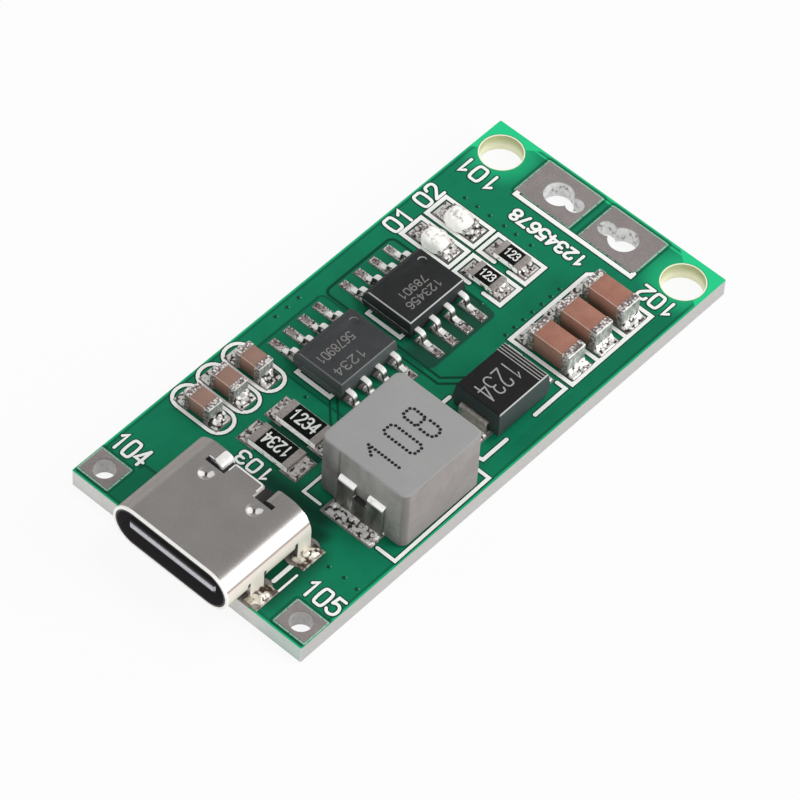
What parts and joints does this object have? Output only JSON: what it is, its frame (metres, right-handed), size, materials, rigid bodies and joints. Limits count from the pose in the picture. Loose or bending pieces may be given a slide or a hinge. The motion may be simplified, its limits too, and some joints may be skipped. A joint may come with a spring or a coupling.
{
  "type": "lithium battery charger module",
  "caption": "Long narrow circuit module with a Type-C socket, power inductor, two eight-lead chips, chip parts, indicator lamps, wire holes and corner screw holes.",
  "frame": {"origin": "centre of the bare board in plan, on its underside", "axes": "+Z out of the populated side, +Y along the board from the socket end to the battery pads, +X to the right seen from above with the socket nearest"},
  "size_m": [0.018, 0.0386, 0.0061],
  "materials": {
    "solder_mask": "satin green coating on glass laminate",
    "tinned_copper": "matte tinned copper",
    "solder": "bright rough solder",
    "shell_steel": "satin plated steel sheet",
    "black_moulding": "matte",
    "grey_moulding": "satin",
    "contact_metal": "bright",
    "package_black": "fine matte",
    "lead_metal": "bright tinned",
    "pressed_iron": "matte grey pressed powder",
    "strap_metal": "tinned strip",
    "capacitor_ceramic": "matte red-brown",
    "chip_metal": "satin tinned",
    "resistor_ceramic": "matte white",
    "resistor_glaze": "glossy black",
    "led_body": "matte cream",
    "led_resin": "milky resin"
  },
  "bodies": {
    "root": {"battery_pad_left": "tinned_copper", "battery_pad_right": "tinned_copper", "capacitor_solder": "solder", "charge_pad_left": "tinned_copper", "charge_pad_right": "tinned_copper", "charger_ic_body": "package_black", "charger_ic_leads": "lead_metal", "circuit_board": "solder_mask", "component_pads": "tinned_copper", "connector_contacts_lower": "contact_metal", "connector_contacts_upper": "contact_metal", "connector_moulding": "black_moulding", "connector_shell": "shell_steel", "connector_solder": "solder", "connector_tongue": "grey_moulding", "diode_body": "package_black", "diode_solder": "solder", "diode_terminal_front": "lead_metal", "diode_terminal_rear": "lead_metal", "ic_solder": "solder", "inductor_block": "pressed_iron", "inductor_solder": "solder", "inductor_strap_front": "strap_metal", "inductor_strap_rear": "strap_metal", "input_cap_1_body": "capacitor_ceramic", "input_cap_1_ends": "chip_metal", "input_cap_2_body": "capacitor_ceramic", "input_cap_2_ends": "chip_metal", "input_cap_3_body": "capacitor_ceramic", "input_cap_3_ends": "chip_metal", "lamp_resistor_1_base": "resistor_ceramic", "lamp_resistor_1_ends": "chip_metal", "lamp_resistor_1_glaze": "resistor_glaze", "lamp_resistor_2_base": "resistor_ceramic", "lamp_resistor_2_ends": "chip_metal", "lamp_resistor_2_glaze": "resistor_glaze", "led_1_base": "led_body", "led_1_ends": "chip_metal", "led_1_lens": "led_resin", "led_2_base": "led_body", "led_2_ends": "chip_metal", "led_2_lens": "led_resin", "led_solder": "solder", "output_cap_1_body": "capacitor_ceramic", "output_cap_1_ends": "chip_metal", "output_cap_2_body": "capacitor_ceramic", "output_cap_2_ends": "chip_metal", "output_cap_3_body": "capacitor_ceramic", "output_cap_3_ends": "chip_metal", "resistor_solder": "solder", "sense_resistor_1_base": "resistor_ceramic", "sense_resistor_1_ends": "chip_metal", "sense_resistor_1_glaze": "resistor_glaze", "sense_resistor_2_base": "resistor_ceramic", "sense_resistor_2_ends": "chip_metal", "sense_resistor_2_glaze": "resistor_glaze", "switch_ic_body": "package_black", "switch_ic_leads": "lead_metal"}
  },
  "joints": []
}
